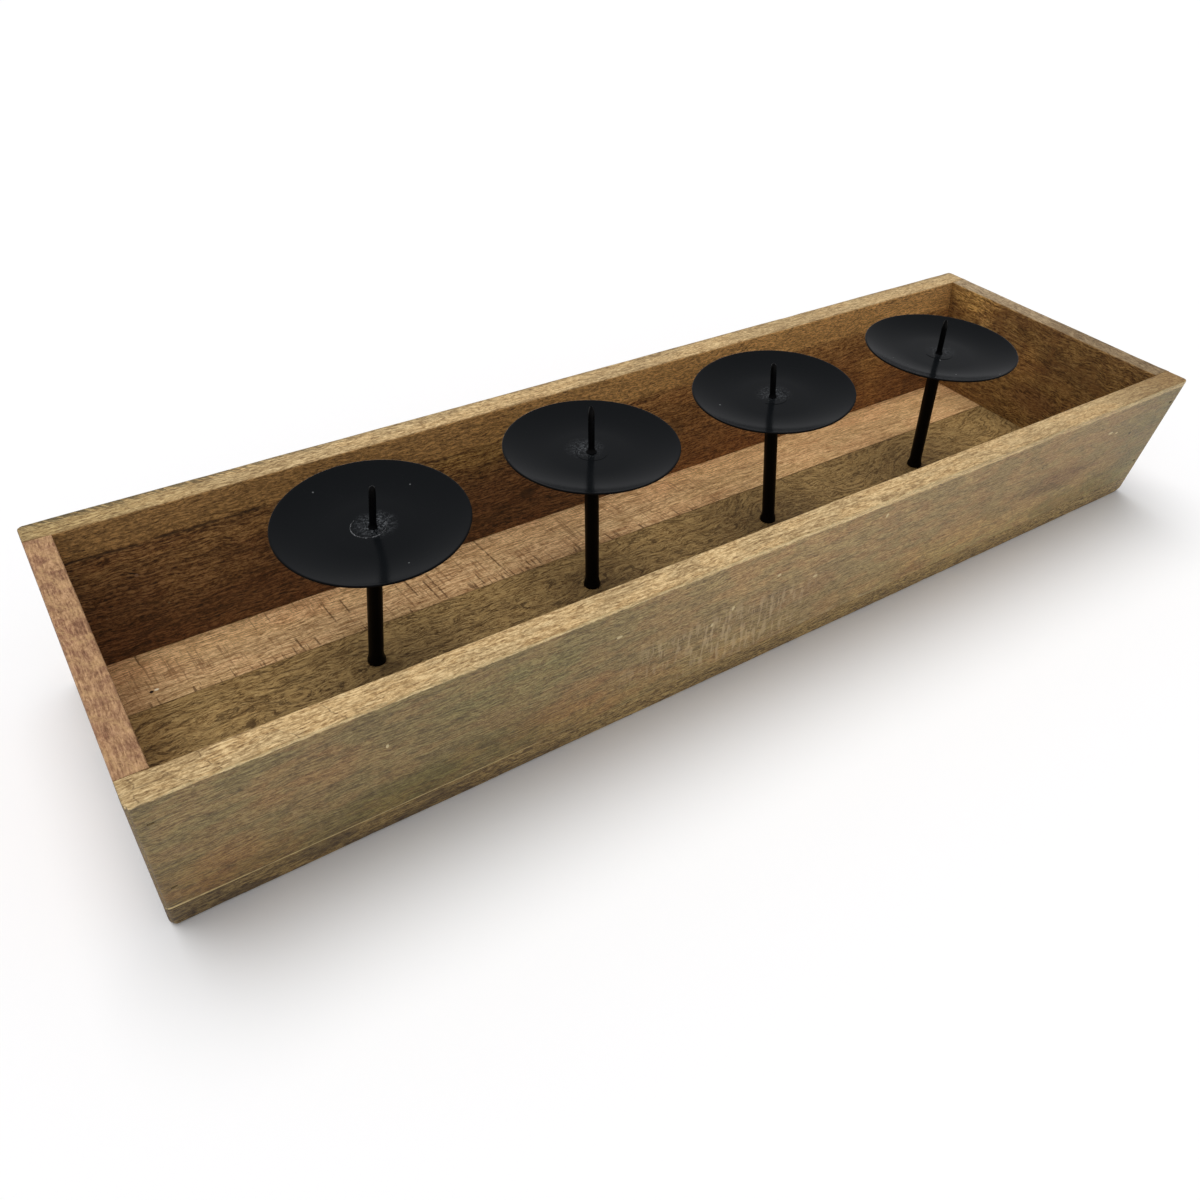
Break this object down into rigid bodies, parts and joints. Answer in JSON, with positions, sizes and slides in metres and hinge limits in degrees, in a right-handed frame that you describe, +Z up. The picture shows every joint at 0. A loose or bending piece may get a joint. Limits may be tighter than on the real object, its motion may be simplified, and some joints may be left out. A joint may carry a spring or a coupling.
{
  "type": "candle tray",
  "caption": "Long wooden trough with outward-leaning sides, holding a row of black steel candle plates, each with a centre spike, on slim stems screwed to the floor.",
  "frame": {"origin": "on the surface the tray stands on, under the middle of the tray", "axes": "+X along the tray towards its right end, +Y across the tray towards its back board, +Z up"},
  "size_m": [0.6, 0.1828, 0.1157],
  "materials": {
    "front_board_wood": "waxed olive-brown mango wood with a pinkish cast, straw-coloured top edge",
    "back_board_wood": "waxed dark reddish-brown mango wood, straw-coloured top edge",
    "left_end_wood": "waxed pinkish mango wood with pale flecks",
    "right_end_wood": "waxed brown mango wood with golden patches",
    "floor_front_wood": "waxed olive-brown mango wood with curly grain",
    "floor_middle_wood": "waxed olive-brown mango wood with curly grain",
    "floor_back_wood": "waxed pinkish-tan mango wood with saw marks",
    "black_plate": "satin black powder coat",
    "black_steel": "satin black paint",
    "zinc_steel": "zinc-plated steel",
    "brad_steel": "dull steel"
  },
  "bodies": {
    "root": {"front_board": "front_board_wood", "back_board": "back_board_wood", "left_end_board": "left_end_wood", "right_end_board": "right_end_wood", "floor_board_front": "floor_front_wood", "floor_board_middle": "floor_middle_wood", "floor_board_back": "floor_back_wood", "brad_front_left_lower": "brad_steel", "brad_front_left_upper": "brad_steel", "brad_front_right_lower": "brad_steel", "brad_front_right_upper": "brad_steel", "brad_back_left_lower": "brad_steel", "brad_back_left_upper": "brad_steel", "brad_back_right_lower": "brad_steel", "brad_back_right_upper": "brad_steel", "brad_floor_front_1": "brad_steel", "brad_floor_front_2": "brad_steel", "brad_floor_front_3": "brad_steel", "brad_floor_front_4": "brad_steel", "brad_floor_back_1": "brad_steel", "brad_floor_back_2": "brad_steel", "brad_floor_back_3": "brad_steel", "brad_floor_back_4": "brad_steel", "brad_floor_left_front": "brad_steel", "brad_floor_left_middle": "brad_steel", "brad_floor_left_back": "brad_steel", "brad_floor_right_front": "brad_steel", "brad_floor_right_middle": "brad_steel", "brad_floor_right_back": "brad_steel", "stem_1": "black_steel", "stem_2": "black_steel", "stem_3": "black_steel", "stem_4": "black_steel", "candle_plate_1": "black_plate", "candle_plate_2": "black_plate", "candle_plate_3": "black_plate", "candle_plate_4": "black_plate", "spike_1": "black_steel", "spike_2": "black_steel", "spike_3": "black_steel", "spike_4": "black_steel", "holder_screw_1": "zinc_steel", "holder_screw_2": "zinc_steel", "holder_screw_3": "zinc_steel", "holder_screw_4": "zinc_steel", "washer_1": "zinc_steel", "washer_2": "zinc_steel", "washer_3": "zinc_steel", "washer_4": "zinc_steel"}
  },
  "joints": []
}
